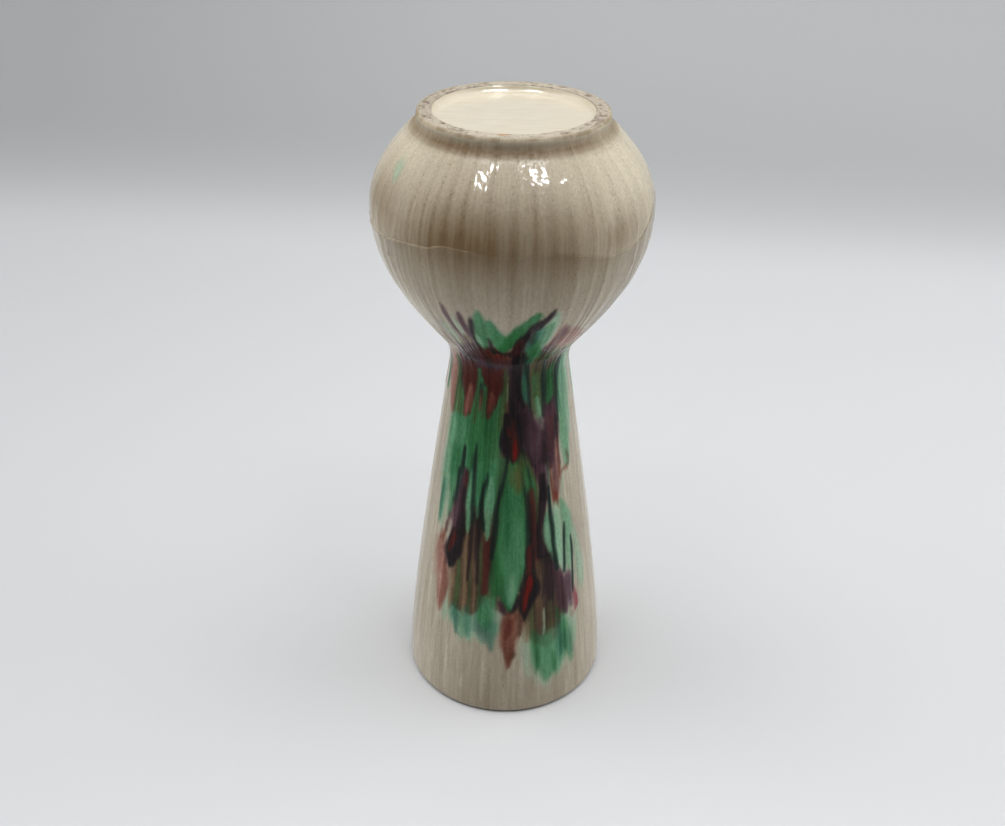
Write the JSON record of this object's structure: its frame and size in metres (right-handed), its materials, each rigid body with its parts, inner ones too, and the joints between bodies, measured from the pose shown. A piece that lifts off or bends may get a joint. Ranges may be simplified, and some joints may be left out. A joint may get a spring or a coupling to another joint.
{
  "type": "ceramic bud vase",
  "caption": "Bud vase standing upside down on its mouth: a round bulb with a foot ring on a long flared neck, glazed all over, with coloured glaze runs.",
  "frame": {"origin": "centre of the mouth rim, on the surface that the upturned vase stands on", "axes": "+Z is the turning axis, from the mouth up to the foot ring; the painted front faces -Y; +X is to its right"},
  "size_m": [0.0826, 0.0826, 0.2],
  "materials": {
    "stoneware_clay": "bare fired stoneware, rough",
    "luting_slip": "fired clay slip, rough",
    "base_glaze": "glossy crackled grey-beige glaze over fine throwing ribs",
    "foot_glaze": "glossy warm off-white glaze, thinner and browner at the front",
    "recess_glaze": "glossy cream glaze with brush marks",
    "liner_glaze": "glossy cream glaze",
    "green_glaze": "glossy copper green",
    "mint_glaze": "glossy pale copper green",
    "oxblood_glaze": "glossy dark red",
    "aubergine_glaze": "glossy dark purple-brown",
    "olive_glaze": "glossy olive brown"
  },
  "bodies": {
    "root": {"neck": "stoneware_clay", "bulb": "stoneware_clay", "foot_ring": "stoneware_clay", "neck_slip": "luting_slip", "foot_slip": "luting_slip", "mouth_glaze": "base_glaze", "base_glaze": "foot_glaze", "recess_glaze": "recess_glaze", "liner_glaze": "liner_glaze", "green_crest": "green_glaze", "mint_crest": "mint_glaze", "oxblood_collar": "oxblood_glaze", "green_cloak": "green_glaze", "aubergine_column": "aubergine_glaze", "oxblood_run": "oxblood_glaze", "olive_run": "olive_glaze", "green_leaf": "green_glaze", "aubergine_run": "aubergine_glaze", "mint_panel": "mint_glaze", "mint_run": "mint_glaze", "red_bead": "oxblood_glaze", "aubergine_tail": "aubergine_glaze", "green_tail": "green_glaze", "back_collar": "aubergine_glaze"}
  },
  "joints": []
}
